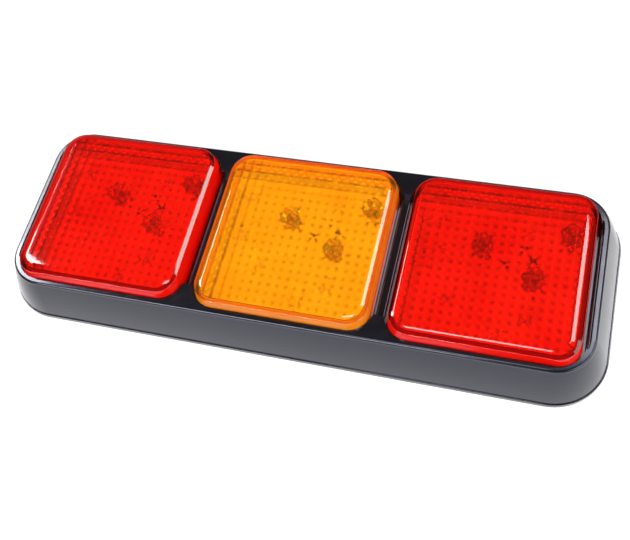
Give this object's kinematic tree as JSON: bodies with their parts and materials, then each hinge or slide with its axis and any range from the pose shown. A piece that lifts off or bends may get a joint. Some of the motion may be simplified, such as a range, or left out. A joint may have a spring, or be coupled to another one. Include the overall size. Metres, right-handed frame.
{
  "type": "tail light cluster",
  "caption": "Row of square red and amber LED rear lamps with fluted lenses, set in a flared gloss black surface-mount base with a cable inlet in its back.",
  "frame": {"origin": "centre of the flat mounting side, on the plane it lies on", "axes": "+X along the length towards the second red lamp, +Z out of the lenses, +Y across the width"},
  "size_m": [0.283, 0.1, 0.028],
  "materials": {
    "base_plastic": "gloss moulded",
    "lens_red": "clear tinted gloss",
    "lens_amber": "clear tinted gloss",
    "tray_plastic": "white satin moulded",
    "board": "white solder mask",
    "led_optic": "clear moulded",
    "board_parts": "satin",
    "potting": "cast resin",
    "seal_rubber": "closed-cell foam",
    "screw_steel": "zinc plated",
    "insert_brass": "turned",
    "grommet_rubber": "matt moulded"
  },
  "bodies": {
    "root": {"base": "base_plastic", "lens_left": "lens_red", "lens_middle": "lens_amber", "lens_right": "lens_red", "tray_left": "tray_plastic", "tray_middle": "tray_plastic", "tray_right": "tray_plastic", "board_left": "board", "board_middle": "board", "board_right": "board", "leds_left": "led_optic", "leds_middle": "led_optic", "leds_right": "led_optic", "board_parts_left": "board_parts", "board_parts_middle": "board_parts", "board_parts_right": "board_parts", "potting_left": "potting", "potting_middle": "potting", "potting_right": "potting", "seal_left": "seal_rubber", "seal_middle": "seal_rubber", "seal_right": "seal_rubber", "lamp_screws": "screw_steel", "mounting_inserts": "insert_brass", "cable_grommet": "grommet_rubber"}
  },
  "joints": []
}
